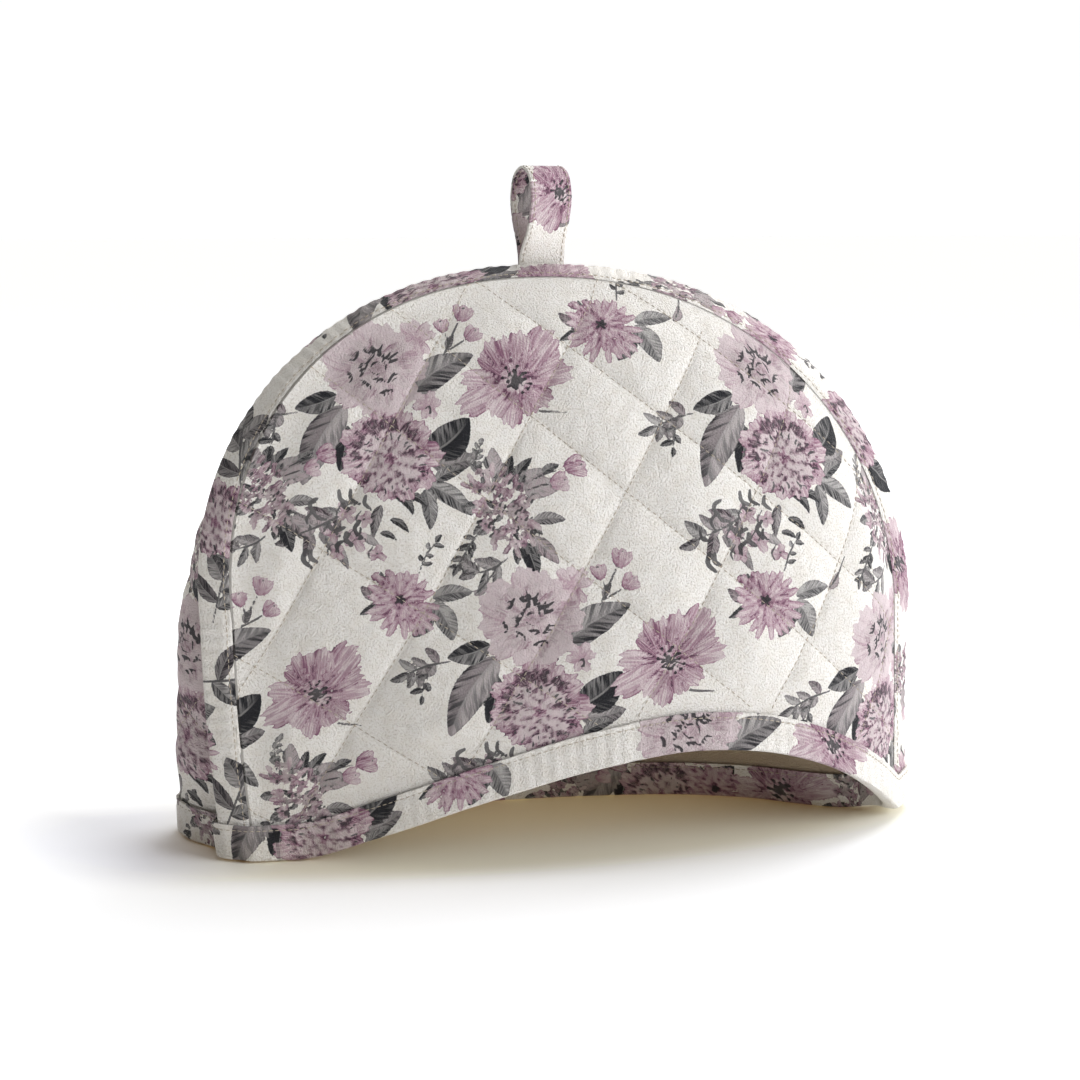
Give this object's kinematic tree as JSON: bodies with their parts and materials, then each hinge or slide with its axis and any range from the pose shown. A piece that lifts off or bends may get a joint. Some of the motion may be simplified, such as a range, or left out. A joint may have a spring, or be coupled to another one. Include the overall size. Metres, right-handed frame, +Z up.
{
  "type": "tea cosy",
  "caption": "Quilted dome tea cosy in flowered cotton, bound at the seam and hem, with a hanging loop, standing open with its front hem arched.",
  "frame": {"origin": "centre of the cosy's bounds, on the surface that its hem stands on", "axes": "+X from the left bottom corner to the right one as seen from the front, +Z up, -Y the front with the arched hem"},
  "size_m": [0.3376, 0.1026, 0.2946],
  "materials": {
    "front_panel": "matte printed cotton",
    "back_panel": "matte printed cotton",
    "seam_binding": "matte printed cotton",
    "hem_binding": "matte printed cotton",
    "hanging_loop": "matte printed cotton"
  },
  "bodies": {
    "root": {"front_panel": "front_panel", "back_panel": "back_panel", "seam_binding": "seam_binding", "hem_binding": "hem_binding", "hanging_loop": "hanging_loop"}
  },
  "joints": []
}
